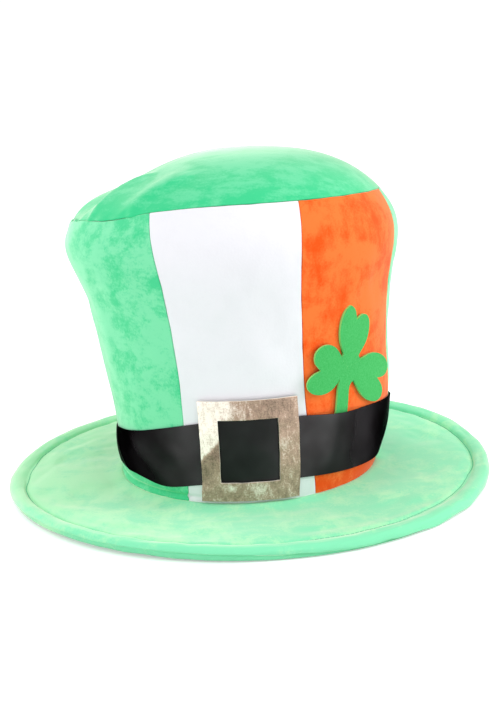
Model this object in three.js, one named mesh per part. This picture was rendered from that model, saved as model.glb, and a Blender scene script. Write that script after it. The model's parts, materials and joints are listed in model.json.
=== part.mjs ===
// A plush costume top hat, built the way it is sewn: three upright velour panels round a hollow crown,
// a domed tip, a padded two-layer brim with a stitched rim, a satin ribbon band, a buckle cut from foil
// cloth and a felt shamrock whose stem is tucked under the ribbon.
// Millimetres, +Z up, the front of the hat towards -Y, the origin on the floor under the brim's middle.
// A bearing is an angle round the hat in degrees: 0 at the front, 90 at +X, 180 at the back.
import * as THREE from "three";
import { mergeVertices } from "three/addons/utils/BufferGeometryUtils.js";

// Cloth thicknesses, and the gap that sewn or glued neighbours keep.
const PADDED_CLOTH = 3.4;
const RIBBON = 1.0;
const FOIL_CLOTH = 1.2;
const FELT = 1.7;
const SEAM_GAP = 0.3;
const LAID_GAP = 0.5;

// Brim: two padded layers, pressed together by a row of stitching that leaves a full rim outside it.
const LAYER = 3.2;
const BRIM_TOP = 2 * LAYER + SEAM_GAP;
const OPENING_HALF_WIDTH = 92;
const OPENING_HALF_LENGTH = 96;
const BRIM_REACH = 88.5;
const RIM_WIDTH = 12.2;
const STITCH_HALF_WIDTH = 2.2;
const STITCH_DEPTH = 1.3;
const RIM_RISE = 1.1;
const FLAT_REACH = 40;
const BRIM_COLUMNS = 56;

// How far the rim curls up off the floor and reaches out at each bearing. Inside FLAT_REACH the brim lies flat.
const BRIM_EDGE = [
  { bearing: -180, rise: 4.0, extra: 2.9 },
  { bearing: -130, rise: 3.5, extra: 1.5 },
  { bearing: -90, rise: 1.5, extra: 0 },
  { bearing: -45, rise: 4.0, extra: 0 },
  { bearing: -10, rise: 3.0, extra: 2.0 },
  { bearing: 20, rise: 0.9, extra: 4.5 },
  { bearing: 50, rise: 0.4, extra: 4.0 },
  { bearing: 90, rise: 3.0, extra: 0 },
  { bearing: 125, rise: 6.0, extra: 2.5 },
];

// Crown: half-sizes of its outside at each height, from the axis to the left, right, front and back.
const CROWN_FOOT = BRIM_TOP + SEAM_GAP;
const CROWN_SECTIONS = [
  { height: CROWN_FOOT, left: 95.4, right: 95.8, front: 99.4, back: 99.4 },
  { height: 35, left: 95.4, right: 104.4, front: 101.8, back: 103.0 },
  { height: 65, left: 98.6, right: 108.8, front: 103.8, back: 106.5 },
  { height: 97, left: 103.4, right: 108.2, front: 106.0, back: 109.5 },
  { height: 133, left: 109.4, right: 110.6, front: 109.5, back: 113.0 },
  { height: 161, left: 116.4, right: 114.6, front: 115.0, back: 118.5 },
  { height: 181, left: 122.6, right: 118.2, front: 118.0, back: 121.5 },
  { height: 198, left: 124.6, right: 115.6, front: 115.5, back: 119.0 },
  { height: 214.4, left: 120.0, right: 106.0, front: 107.5, back: 111.0 },
];
const SEAM_HEIGHT = CROWN_SECTIONS.at(-1).height;
const CROWN_ROWS = 14;
const CROWN_ROW_EASE = 1.5;
const COLUMN_DEGREES = 6;

// Bearings of the three upright seams between the panels, at each height.
const PANEL_SEAMS = [
  { height: CROWN_FOOT, whiteLeft: -26.4, whiteRight: 29.0, orangeRight: 82 },
  { height: 65, whiteLeft: -25.4, whiteRight: 22.8, orangeRight: 78.5 },
  { height: 97, whiteLeft: -24.7, whiteRight: 22.4, orangeRight: 75.5 },
  { height: 133, whiteLeft: -25.3, whiteRight: 22.0, orangeRight: 72.5 },
  { height: 170, whiteLeft: -25.6, whiteRight: 21.2, orangeRight: 71 },
  { height: 192, whiteLeft: -26.3, whiteRight: 21.7, orangeRight: 72.5 },
  { height: SEAM_HEIGHT, whiteLeft: -27.6, whiteRight: 23.6, orangeRight: 76 },
];

// Tip: how far the seam round it sinks under its height at the front, how full the dome is on that side,
// and the share of its fall that comes in a tight round at the seam.
const TIP_APEX = 243.8;
const TIP_CENTRE_X = -3;
const TIP_RIM = [
  { bearing: -180, sink: 8, fullness: 2.6, shoulder: 0.05 },
  { bearing: -135, sink: 13, fullness: 2.1, shoulder: 0.12 },
  { bearing: -110, sink: 16, fullness: 1.9, shoulder: 0.26 },
  { bearing: -90, sink: 17, fullness: 1.9, shoulder: 0.24 },
  { bearing: -60, sink: 11, fullness: 2.0, shoulder: 0.12 },
  { bearing: -44, sink: 9.6, fullness: 2.2, shoulder: 0.08 },
  { bearing: -29, sink: 4, fullness: 2.5, shoulder: 0.05 },
  { bearing: -14, sink: 1, fullness: 2.7, shoulder: 0.05 },
  { bearing: 0, sink: 0, fullness: 2.8, shoulder: 0.05 },
  { bearing: 45, sink: 0.8, fullness: 3.1, shoulder: 0.05 },
  { bearing: 72, sink: 2.2, fullness: 3.3, shoulder: 0.05 },
  { bearing: 100, sink: 4.5, fullness: 3.3, shoulder: 0.05 },
  { bearing: 140, sink: 6, fullness: 3.0, shoulder: 0.05 },
];
const SHOULDER_POWER = 18;
const SINK_START = 130;
const TIP_RINGS = 8;
const TIP_RING_EASE = 1.4;
const TIP_COLUMNS = 48;

// Soft folds in the tip: a dent along a bearing, deepest at a share of the way from the middle to the seam.
const TIP_FOLDS = [
  { bearing: -77, spread: 12, share: 0.84, reach: 0.32, depth: 12 },
  { bearing: -105, spread: 30, share: 0.72, reach: 0.3, depth: 8 },
];

// Ribbon band: heights of its two edges round the crown, and how far it bags out between them.
const BAND_EDGES = [
  { bearing: -180, bottom: 17, top: 60, bulge: 0 },
  { bearing: -130, bottom: 16, top: 50, bulge: 0.8 },
  { bearing: -97, bottom: 16, top: 42.5, bulge: 1.6 },
  { bearing: -75, bottom: 20, top: 48, bulge: 2.2 },
  { bearing: -52, bottom: 20, top: 54.5, bulge: 1.6 },
  { bearing: -37, bottom: 17.5, top: 60.5, bulge: 0.6 },
  { bearing: -19, bottom: 22.5, top: 67, bulge: 0 },
  { bearing: 0, bottom: 24, top: 71.5, bulge: 0 },
  { bearing: 19, bottom: 24, top: 69, bulge: 0 },
  { bearing: 47, bottom: 20.5, top: 65, bulge: 0 },
  { bearing: 75, bottom: 17, top: 60.5, bulge: 0 },
  { bearing: 105, bottom: 15, top: 53, bulge: 0 },
  { bearing: 140, bottom: 15, top: 55, bulge: 0 },
];
const BAND_ROWS = 3;
const BAND_COLUMNS = 60;

// The ribbon stands off where it passes over the shamrock's stem.
const TUCK_BEARING = 35.9;
const TUCK_SPREAD = 15;
const TUCK_LIFT = 4.4;

const BUCKLE = { bearing: 0.5, height: 47.6, width: 67.5, length: 72.4, bar: 13.6 };
const BUCKLE_COLUMNS = 40;

// Shamrock: its middle on the crown, and a stiffness that keeps the felt from bending all the way round it.
const SHAMROCK = { bearing: 41.9, height: 97.3, pole: -3, unbending: 0.002 };
const LEAVES = [
  { turn: -28, clockwise: 42, anticlockwise: 42.5, halfWidth: 17.5, notch: 31 },
  { turn: 78.5, clockwise: 37, anticlockwise: 42, halfWidth: 15, notch: 31.5 },
  { turn: 176, clockwise: 31.5, anticlockwise: 36, halfWidth: 17.5, notch: 24 },
];
const LEAF_BASE = 8.5;
const LEAF_NECK = 6.5;
const STEM = { right: -1.5, left: -11.5, neck: 12.5, foot: { right: -5, left: -15.5, drop: 38 } };
const SHAMROCK_COLUMNS = 84;
const SHAMROCK_RINGS = 3;

const DEGREE = Math.PI / 180;
const FULL_TURN = 360;

// Smooth value of a table's column at a place along its key column. A table with a period runs round the hat.
function readTable(rows, key, column, at, period = 0) {
  const before = period ? rows.map((row) => ({ ...row, [key]: row[key] - period })) : [];
  const after = period ? rows.map((row) => ({ ...row, [key]: row[key] + period })) : [];
  const line = [...before, ...rows, ...after];
  const last = line.length - 1;
  const found = line.findIndex((row) => row[key] > at);
  const i = THREE.MathUtils.clamp(found < 0 ? last - 1 : found - 1, 0, last - 1);
  const slope = (k) => {
    const low = line[Math.max(k - 1, 0)];
    const high = line[Math.min(k + 1, last)];
    return (high[column] - low[column]) / (high[key] - low[key]);
  };
  const span = line[i + 1][key] - line[i][key];
  const t = THREE.MathUtils.clamp((at - line[i][key]) / span, 0, 1);
  const rise = line[i + 1][column] - line[i][column];
  const bend = t * (1 - t) * ((1 - t) * (slope(i) * span - rise) - t * (slope(i + 1) * span - rise));
  return line[i][column] + t * rise + bend;
}

// Closed solid of a piece of cloth from its right side and its wrong side, two matching grids of points.
// Columns wrap round a ring, and a pole closes the last row to one point.
function clothSolid({ rows, columns, face, back, wrap = false, pole = false }) {
  const across = wrap ? columns : columns + 1;
  const corners = [];
  for (const side of [face, back]) {
    for (let i = 0; i <= rows; i++) {
      for (let j = 0; j < across; j++) {
        corners.push(...side(i / rows, pole && i === rows ? 0 : j / columns).toArray());
      }
    }
  }
  const backStart = (rows + 1) * across;
  const triangles = [];
  const at = (i, j) => i * across + (j % across);
  const quad = (a, b, c, d) => triangles.push(a, b, c, a, c, d);
  for (let j = 0; j < columns; j++) {
    for (let i = 0; i < rows; i++) {
      const [a, b, c, d] = [at(i, j), at(i, j + 1), at(i + 1, j + 1), at(i + 1, j)];
      if (pole && i === rows - 1) {
        triangles.push(a, b, at(rows, 0), backStart + b, backStart + a, backStart + at(rows, 0));
      } else {
        quad(a, b, c, d);
        quad(backStart + b, backStart + a, backStart + d, backStart + c);
      }
    }
    quad(backStart + at(0, j), backStart + at(0, j + 1), at(0, j + 1), at(0, j));
    if (!pole) quad(at(rows, j), at(rows, j + 1), backStart + at(rows, j + 1), backStart + at(rows, j));
  }
  for (let i = 0; i < rows && !wrap; i++) {
    quad(at(i, 0), at(i + 1, 0), backStart + at(i + 1, 0), backStart + at(i, 0));
    const [low, high] = [at(i, columns), at(i + 1, columns)];
    quad(high, low, backStart + low, backStart + high);
  }
  const geometry = new THREE.BufferGeometry();
  geometry.setAttribute("position", new THREE.Float32BufferAttribute(corners, 3));
  geometry.setIndex(triangles);
  const merged = mergeVertices(geometry);
  merged.computeVertexNormals();
  return merged;
}

// Crown surface
function crownOutside(bearing, height) {
  const half = (side) => readTable(CROWN_SECTIONS, "height", side, height);
  const sine = Math.sin(bearing * DEGREE);
  const cosine = Math.cos(bearing * DEGREE);
  const sink = readTable(TIP_RIM, "bearing", "sink", bearing, FULL_TURN);
  return new THREE.Vector3(
    sine * half(sine >= 0 ? "right" : "left"),
    -cosine * half(cosine >= 0 ? "front" : "back"),
    height - sink * THREE.MathUtils.smoothstep(height, SINK_START, SEAM_HEIGHT),
  );
}

// Unit vectors on the crown: up along the wall, and out of it.
function crownUp(bearing, height) {
  const step = 0.5;
  const low = crownOutside(bearing, Math.max(height - step, CROWN_FOOT));
  const high = crownOutside(bearing, Math.min(height + step, SEAM_HEIGHT));
  return high.sub(low).normalize();
}

function crownOut(bearing, height) {
  const step = 0.5;
  const along = crownOutside(bearing + step, height).sub(crownOutside(bearing - step, height));
  return along.cross(crownUp(bearing, height)).normalize();
}

// A point lifted off the crown's outside, or sunk into it by a negative lift.
function offCrown(bearing, height, lift) {
  return crownOutside(bearing, height).addScaledVector(crownOut(bearing, height), lift);
}

// Wrong side of the crown's wall. Its foot stays level, because it stands on the flat brim.
function crownInside(bearing, height) {
  const inside = offCrown(bearing, height, -PADDED_CLOTH);
  if (height === CROWN_FOOT) inside.z = CROWN_FOOT;
  return inside;
}

function crownPanel(leftSeam, rightSeam, wholeTurn = 0) {
  const halfGap = SEAM_GAP / 2 / OPENING_HALF_WIDTH / DEGREE;
  const heightAt = (up) => {
    if (up === 0) return CROWN_FOOT;
    return CROWN_FOOT + (SEAM_HEIGHT - CROWN_FOOT) * (1 - (1 - up) ** CROWN_ROW_EASE);
  };
  const bearingAt = (across, height) => {
    const left = readTable(PANEL_SEAMS, "height", leftSeam, height) + halfGap;
    const right = readTable(PANEL_SEAMS, "height", rightSeam, height) + wholeTurn - halfGap;
    return left + across * (right - left);
  };
  const sweep = PANEL_SEAMS[0][rightSeam] + wholeTurn - PANEL_SEAMS[0][leftSeam];
  const side = (surface) => (up, across) => surface(bearingAt(across, heightAt(up)), heightAt(up));
  return clothSolid({
    rows: CROWN_ROWS,
    columns: Math.ceil(sweep / COLUMN_DEGREES),
    face: side(crownOutside),
    back: side(crownInside),
  });
}

// Tip
function tipDent(bearing, share) {
  return TIP_FOLDS.reduce((sum, fold) => {
    const turn = THREE.MathUtils.euclideanModulo(bearing - fold.bearing + 180, FULL_TURN) - 180;
    const off = (turn / fold.spread) ** 2 + ((share - fold.share) / fold.reach) ** 2;
    return sum + (share < 1 ? fold.depth * Math.exp(-off) * (1 - share ** 8) : 0);
  }, 0);
}

function crownTip() {
  const surface = (rim, apex) => (inward, turn) => {
    const bearing = turn * FULL_TURN;
    const share = 1 - inward ** TIP_RING_EASE;
    const edge = rim(bearing, SEAM_HEIGHT).addScaledVector(crownUp(bearing, SEAM_HEIGHT), SEAM_GAP);
    const read = (column) => readTable(TIP_RIM, "bearing", column, bearing, FULL_TURN);
    const shoulder = read("shoulder");
    const fall = (1 - shoulder) * share ** read("fullness") + shoulder * share ** SHOULDER_POWER;
    return new THREE.Vector3(
      TIP_CENTRE_X + share * (edge.x - TIP_CENTRE_X),
      share * edge.y,
      apex - (apex - edge.z) * fall - tipDent(bearing, share),
    );
  };
  return clothSolid({
    rows: TIP_RINGS,
    columns: TIP_COLUMNS,
    wrap: true,
    pole: true,
    face: surface(crownOutside, TIP_APEX),
    back: surface(crownInside, TIP_APEX - PADDED_CLOTH),
  });
}

// Brim
function brimPoint(reach, bearing, height) {
  const read = (column) => readTable(BRIM_EDGE, "bearing", column, bearing, FULL_TURN);
  const curl = Math.max(0, reach - FLAT_REACH) / (BRIM_REACH - FLAT_REACH);
  const out = reach + read("extra") * curl;
  return new THREE.Vector3(
    (OPENING_HALF_WIDTH + out) * Math.sin(bearing * DEGREE),
    -(OPENING_HALF_LENGTH + out) * Math.cos(bearing * DEGREE),
    height + read("rise") * curl ** 2,
  );
}

// How far a brim layer's outside stands from the seam between the layers: full, pinched at the stitching,
// full again over the rim and closing in a quarter round at the edge.
function brimFullness(reach, rimRise) {
  const fromStitch = (reach - BRIM_REACH + RIM_WIDTH) / STITCH_HALF_WIDTH;
  const pinch = STITCH_DEPTH * Math.max(0, 1 - fromStitch ** 2);
  const overRim = THREE.MathUtils.clamp(1 - (BRIM_REACH - reach) / RIM_WIDTH, 0, 1);
  const rise = rimRise * Math.sin(Math.PI * overRim);
  const toEdge = THREE.MathUtils.clamp((BRIM_REACH - reach) / LAYER, 0, 1);
  return (LAYER + rise - pinch) * Math.sqrt(1 - (1 - toEdge) ** 2);
}

// One layer of the brim, above the seam between the two for a side of 1 and under it for -1.
function brimLayer(side, rimRise) {
  const stitch = BRIM_REACH - RIM_WIDTH;
  const edge = [0.05, 0.35, 1].map((share) => BRIM_REACH - share * LAYER);
  const groove = [1, 0, -1].map((share) => stitch + share * STITCH_HALF_WIDTH);
  const crest = rimRise > 0 ? [BRIM_REACH - RIM_WIDTH / 2] : [];
  const reaches = [...edge, ...crest, ...groove, FLAT_REACH, 0];
  const rows = reaches.length - 1;
  const seam = LAYER + (side > 0 ? SEAM_GAP : 0);
  const point = (fullness) => (inward, turn) => {
    const reach = reaches[Math.round(inward * rows)];
    return brimPoint(reach, turn * FULL_TURN - 180, seam + side * fullness(reach));
  };
  const outside = point((reach) => brimFullness(reach, rimRise));
  const inside = point(() => 0);
  const [face, back] = side > 0 ? [outside, inside] : [inside, outside];
  return clothSolid({ rows, columns: BRIM_COLUMNS, wrap: true, face, back });
}

// Ribbon band
function ribbonBand() {
  const layer = (depth) => (up, turn) => {
    const bearing = turn * FULL_TURN - 180;
    const read = (column) => readTable(BAND_EDGES, "bearing", column, bearing, FULL_TURN);
    const height = read("bottom") + up * (read("top") - read("bottom"));
    const nearStem = 1 - Math.abs(bearing - TUCK_BEARING) / TUCK_SPREAD;
    const overStem = TUCK_LIFT * THREE.MathUtils.smoothstep(nearStem, 0, 1);
    const lift = LAID_GAP + overStem * up + read("bulge") * Math.sin(Math.PI * up);
    return offCrown(bearing, height, lift + depth);
  };
  return clothSolid({ rows: BAND_ROWS, columns: BAND_COLUMNS, wrap: true, face: layer(RIBBON), back: layer(0) });
}

// A flat cut-out laid on the crown: distances across and up from its middle become a bearing and a height.
function laidOnCrown({ bearing, height }, across, up, lift) {
  const sides = ["left", "right", "front", "back"];
  const half = (side) => readTable(CROWN_SECTIONS, "height", side, height + up);
  const radius = sides.reduce((sum, side) => sum + half(side) / sides.length, 0);
  return offCrown(bearing + across / radius / DEGREE, height + up, lift);
}

// Buckle: a square frame, laid on the ribbon.
function foilBuckle() {
  const square = new THREE.Shape();
  const [halfWidth, halfHeight] = [BUCKLE.width / 2, BUCKLE.length / 2];
  square.moveTo(-halfWidth, -halfHeight);
  square.lineTo(halfWidth, -halfHeight);
  square.lineTo(halfWidth, halfHeight);
  square.lineTo(-halfWidth, halfHeight);
  square.closePath();
  const perSide = BUCKLE_COLUMNS / 4;
  const rim = square.curves.flatMap((side) => side.getSpacedPoints(perSide).slice(0, perSide));
  const layer = (lift) => (inward, turn) => {
    const place = rim[Math.round(turn * BUCKLE_COLUMNS) % BUCKLE_COLUMNS];
    const across = place.x * (1 - (inward * BUCKLE.bar) / halfWidth);
    const up = place.y * (1 - (inward * BUCKLE.bar) / halfHeight);
    return laidOnCrown(BUCKLE, across, up, lift);
  };
  const back = 2 * LAID_GAP + RIBBON;
  return clothSolid({
    rows: 2,
    columns: BUCKLE_COLUMNS,
    wrap: true,
    face: layer(back + FOIL_CLOTH),
    back: layer(back),
  });
}

// Shamrock: three heart-shaped leaves and a stem, drawn counter-clockwise from the stem's foot.
function shamrockOutline() {
  const shape = new THREE.Shape();
  const { right, left, neck, foot } = STEM;
  shape.moveTo(foot.right, -foot.drop);
  shape.lineTo(right, -neck);
  for (const { turn, clockwise, anticlockwise, halfWidth, notch } of LEAVES) {
    const at = (along, aside) => {
      const spot = new THREE.Vector2(along, aside).rotateAround(new THREE.Vector2(), turn * DEGREE);
      return [spot.x, spot.y];
    };
    const half = (side, length) => {
      const lobe = (along, aside) => at(along * length, side * aside * halfWidth);
      return [
        [at(LEAF_BASE, side * LEAF_NECK), lobe(0.36, 1), lobe(0.68, 1)],
        [lobe(0.92, 1), lobe(1.04, 0.72), lobe(1, 0.4)],
        [lobe(0.96, 0.12), at(notch + 1, 0), at(notch, 0)],
      ];
    };
    shape.lineTo(...at(LEAF_BASE, -LEAF_NECK));
    for (const [a, b, c] of half(-1, clockwise)) shape.bezierCurveTo(...a, ...b, ...c);
    const outward = half(1, anticlockwise);
    shape.bezierCurveTo(...outward[2][1], ...outward[2][0], ...outward[1][2]);
    shape.bezierCurveTo(...outward[1][1], ...outward[1][0], ...outward[0][2]);
    shape.bezierCurveTo(...outward[0][1], ...outward[0][0], ...at(LEAF_BASE, LEAF_NECK));
  }
  shape.lineTo(left, -neck);
  shape.lineTo(foot.left, -foot.drop);
  shape.closePath();
  return shape;
}

function feltShamrock() {
  const outline = shamrockOutline().getSpacedPoints(SHAMROCK_COLUMNS).slice(0, SHAMROCK_COLUMNS);
  const layer = (depth) => (inward, turn) => {
    const edge = outline[Math.round(turn * SHAMROCK_COLUMNS) % SHAMROCK_COLUMNS];
    const across = edge.x + inward * (SHAMROCK.pole - edge.x);
    const up = edge.y * (1 - inward);
    const stiff = across ** 2 * SHAMROCK.unbending;
    return laidOnCrown(SHAMROCK, across, up, LAID_GAP + stiff + depth);
  };
  return clothSolid({
    rows: SHAMROCK_RINGS,
    columns: SHAMROCK_COLUMNS,
    wrap: true,
    pole: true,
    face: layer(FELT),
    back: layer(0),
  });
}

// Materials
const cloth = (color, roughness, metalness = 0) =>
  new THREE.MeshStandardMaterial({ color, roughness, metalness });
const GREEN_VELOUR = cloth("#6ee8ab", 0.85);
const WHITE_VELOUR = cloth("#f5f5fa", 0.85);
const ORANGE_VELOUR = cloth("#fc7630", 0.85);
const BLACK_SATIN = cloth("#1f2220", 0.35);
const GOLD_FOIL = cloth("#b3a68c", 0.35, 0.7);
const GREEN_FELT = cloth("#4fc269", 0.95);

const hat = new THREE.Group();
const add = (name, geometry, material) => {
  const mesh = new THREE.Mesh(geometry, material);
  mesh.name = name;
  hat.add(mesh);
};

add("brim_under", brimLayer(-1, 0), GREEN_VELOUR);
add("brim_top", brimLayer(1, RIM_RISE), GREEN_VELOUR);
add("crown_side_green", crownPanel("orangeRight", "whiteLeft", FULL_TURN), GREEN_VELOUR);
add("crown_front_white", crownPanel("whiteLeft", "whiteRight"), WHITE_VELOUR);
add("crown_front_orange", crownPanel("whiteRight", "orangeRight"), ORANGE_VELOUR);
add("crown_tip", crownTip(), GREEN_VELOUR);
add("hat_band", ribbonBand(), BLACK_SATIN);
add("buckle", foilBuckle(), GOLD_FOIL);
add("shamrock", feltShamrock(), GREEN_FELT);

export default hat;
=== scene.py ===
# %% [markdown]
# # A padded velour costume top hat
#
# The hat is sewn from soft padded velour: three upright panels round a hollow crown, a domed tip, and a
# wide round brim of two layers with a stitched rim. A black satin band, a buckle cut from gold foil cloth
# and a green felt shamrock are laid on the crown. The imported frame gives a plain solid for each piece, in
# metres with +Z up and the front towards -Y. This lesson dresses each solid as the cloth it stands for.

# %% Load the frame
import json
from math import atan2, cos, exp, hypot, pi, radians, sin

import bpy
import numpy as np
from mathutils import Matrix, Vector, noise

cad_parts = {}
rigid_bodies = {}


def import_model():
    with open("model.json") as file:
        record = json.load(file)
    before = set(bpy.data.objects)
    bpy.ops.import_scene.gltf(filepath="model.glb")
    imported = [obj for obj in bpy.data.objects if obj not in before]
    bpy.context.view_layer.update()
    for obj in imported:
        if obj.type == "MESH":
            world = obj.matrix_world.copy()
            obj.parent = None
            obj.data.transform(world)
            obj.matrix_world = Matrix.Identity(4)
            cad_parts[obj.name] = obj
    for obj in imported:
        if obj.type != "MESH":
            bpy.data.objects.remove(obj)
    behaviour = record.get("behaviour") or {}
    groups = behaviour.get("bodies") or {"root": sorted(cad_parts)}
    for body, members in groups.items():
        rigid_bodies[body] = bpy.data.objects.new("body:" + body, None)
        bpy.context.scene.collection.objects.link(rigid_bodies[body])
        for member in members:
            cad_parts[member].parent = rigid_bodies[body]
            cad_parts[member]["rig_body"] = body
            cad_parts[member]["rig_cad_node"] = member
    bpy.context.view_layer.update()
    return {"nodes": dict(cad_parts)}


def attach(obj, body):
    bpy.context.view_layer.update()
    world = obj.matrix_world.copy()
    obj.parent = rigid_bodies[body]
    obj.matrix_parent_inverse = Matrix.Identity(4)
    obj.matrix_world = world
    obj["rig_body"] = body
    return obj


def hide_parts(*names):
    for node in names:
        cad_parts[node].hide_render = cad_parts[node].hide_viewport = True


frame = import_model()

MM = 0.001
print("solids:", sorted(frame["nodes"]))

# %% [markdown]
# ## Camera
#
# The photograph looks down at the front of the hat from about 13 degrees above the floor, and its frame
# leans by 3 degrees. A camera could be placed by eye, but these values were fitted to the hat's outline,
# so they are written down. The sensor's 36 mm lie along the long side of the 500 x 714 picture.

# %% Camera
VIEW_ELEVATION = radians(13.036)
VIEW_LEAN = radians(3.003)
VIEW_DISTANCE = 950 * MM
VIEW_TARGET = Vector((5.5, 0, 88.55)) * MM
LENS = 63.88

to_camera = Vector((0, -cos(VIEW_ELEVATION), sin(VIEW_ELEVATION)))
bpy.ops.object.camera_add()
camera = bpy.context.object
camera.name = "photo_camera"
camera.data.lens = LENS
aim = (-to_camera).to_track_quat("-Z", "Y").to_matrix() @ Matrix.Rotation(-VIEW_LEAN, 3, "Z")
camera.matrix_world = Matrix.Translation(VIEW_TARGET + to_camera * VIEW_DISTANCE) @ aim.to_4x4()
bpy.context.scene.camera = camera
print("camera at", [round(x, 3) for x in camera.matrix_world.translation])

# %% [markdown]
# ## Finishes
#
# Every finish here is a node material. Colours are written as the sRGB hex values that an eye dropper
# gives, and one function turns them into the linear values that a shader needs. A second small function
# adds one node, sets its options and fills its sockets, either with a value or with another node's
# output.

# %% Colour and node helpers
def linear(hex_colour):
    """An sRGB hex colour as the linear colour, with alpha, that a shader socket takes."""
    parts = [int(hex_colour[at : at + 2], 16) / 255 for at in (1, 3, 5)]
    return [c / 12.92 if c <= 0.04045 else ((c + 0.055) / 1.055) ** 2.4 for c in parts] + [1]


def add_node(owner, kind, options=(), **sockets):
    """Adds a shader node. A socket's name has _ for each space, and _0 or _1 is a socket's number."""
    node = owner.node_tree.nodes.new("ShaderNode" + kind)
    for option, value in dict(options).items():
        setattr(node, option, value)
    for name, value in sockets.items():
        socket = node.inputs[int(name[1:]) if name[0] == "_" else name.replace("_", " ")]
        if isinstance(value, bpy.types.NodeSocket):
            owner.node_tree.links.new(value, socket)
        else:
            socket.default_value = value
    return node


def new_finish(name):
    """An empty node material and the Object coordinates that its patterns are drawn in, in metres."""
    material = bpy.data.materials.new(name)
    material.use_nodes = True
    material.node_tree.nodes.clear()
    return material, add_node(material, "TexCoord").outputs["Object"]


def colour_ramp(material, value, *stops):
    """A ramp's colour output. Each stop is a position and a hex colour."""
    ramp = add_node(material, "ValToRGB", Fac=value)
    elements = ramp.color_ramp.elements
    while len(elements) < len(stops):
        elements.new(0.5)
    for element, (position, colour) in zip(elements, stops):
        element.position, element.color = position, linear(colour)
    return ramp.outputs["Color"]


def show(material, surface):
    """Makes a shader node the material's surface."""
    add_node(material, "OutputMaterial", Surface=surface.outputs[0])
    print("finish:", material.name, "with", len(material.node_tree.nodes), "nodes")
    return material


# %% [markdown]
# ## Velour
#
# Velour is a knitted polyester cloth with a short cut pile. The pile lies one way over most of the cloth
# and another way where a hand has brushed it, so the same dye looks deep in some patches and pale
# elsewhere, with soft edges. At a glancing angle the tips of the pile catch light, which is what the
# sheen sockets of the shader draw. The patches could be painted, but noise in real sizes covers every
# piece without a join. The pile itself is about a third of a millimetre across, and is drawn 1.5 mm wide
# here so that it shows. A piece may carry an attribute of painted light, which is below 0 where shade is
# painted into its tone, deeper, and above 0 where a sheen is painted into it, paler.

# %% Velour finish
BRUSHED_PATCH = 25 * MM
PATCH_EDGE = 0.15
STROKE = 5 * MM
PILE = 1.5 * MM
PILE_SPREAD = 0.16


def velour(name, deep, pale, brushed, sheen, glint, strokes=(1, 1, 0.4), marked=0.15):
    """Velour in two tones of one dye. brushed is the noise level under which the pile lies the deep way,
    strokes squeezes the brush marks along X, Y and Z, and marked says how strong they are."""
    material, place = new_finish(name)
    along = add_node(material, "Mapping", Vector=place, Scale=strokes).outputs[0]
    patch = add_node(material, "TexNoise", Vector=place, Scale=1 / BRUSHED_PATCH, Detail=5, Roughness=0.62,
                     Distortion=0.4)
    brush = add_node(material, "TexNoise", Vector=along, Scale=1 / STROKE, Detail=3, Roughness=0.6)
    pile = add_node(material, "TexNoise", Vector=place, Scale=1 / PILE, Detail=2, Roughness=0.7)
    streak = add_node(material, "MapRange", Value=brush.outputs["Fac"], To_Min=-marked, To_Max=marked)
    grain = add_node(material, "MapRange", Value=pile.outputs["Fac"],
                     To_Min=-PILE_SPREAD, To_Max=PILE_SPREAD)
    broad = add_node(material, "Math", {"operation": "ADD"}, _0=patch.outputs["Fac"], _1=streak.outputs[0])
    # Painted light: this attribute deepens the tone as painted shade or pales it as a painted sheen.
    painted_light = add_node(material, "Attribute", {"attribute_name": "painted_light"})
    shift = add_node(material, "Math", {"operation": "ADD"}, _0=painted_light.outputs["Fac"], _1=grain.outputs[0])
    lie = add_node(material, "Math", {"operation": "ADD"}, _0=broad.outputs[0], _1=shift.outputs[0])
    nap = add_node(material, "MapRange", {"interpolation_type": "SMOOTHSTEP"}, Value=lie.outputs[0],
                   From_Min=brushed - PATCH_EDGE, From_Max=brushed + PATCH_EDGE)
    tone = colour_ramp(material, nap.outputs[0], (0, deep), (1, pale))
    hollow = add_node(material, "Bump", Height=broad.outputs[0], Strength=0.25, Distance=0.8 * MM)
    fibre = add_node(material, "Bump", Height=pile.outputs["Fac"], Strength=0.3, Distance=0.3 * MM,
                     Normal=hollow.outputs[0])
    return show(material, add_node(
        material, "BsdfPrincipled", Base_Color=tone, Roughness=0.9, Specular_IOR_Level=0.1,
        Sheen_Weight=sheen, Sheen_Roughness=0.35, Sheen_Tint=linear(glint), Normal=fibre.outputs[0]))


# The crown, tip and brim are one green velour. The tip's copy is painted deeper, as painted shade, and the
# brim's paler, as a painted sheen for the light that grazes it.
crown_velour = velour("green velour, crown", deep="#48cc8e", pale="#7bdca9", brushed=0.45,
                      sheen=1, glint="#e4ffe8", strokes=(0.5, 0.5, 1), marked=0.22)
tip_velour = velour("green velour, tip", deep="#38c888", pale="#60d29b", brushed=0.47,
                    sheen=1, glint="#f0ffea", strokes=(0.22, 0.5, 1), marked=0.34)
brim_velour = velour("green velour, brim", deep="#80deae", pale="#a6e7b5", brushed=0.57,
                     sheen=1, glint="#fdf6e6", strokes=(1, 0.4, 1), marked=0.12)
white_velour = velour("white velour", deep="#e5e5ea", pale="#e7e7ec", brushed=0.45,
                      sheen=0.1, glint="#ffffff")
orange_velour = velour("orange velour", deep="#f25009", pale="#fc7634", brushed=0.45,
                       sheen=0.4, glint="#ffe2d0")

# %% [markdown]
# ## Satin
#
# The band is polyester satin: long warp threads lie side by side along its face, so it is smooth, and
# each highlight is drawn out across the threads. Black satin shows hardly any light of its own and acts
# as a very dark, blurred mirror, so it is drawn as a metal whose colour is nearly black. Its attribute
# "weft" gives the direction across the threads. The weave is far too fine to show, and is drawn as faint
# ribs 0.8 mm apart.

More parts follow.
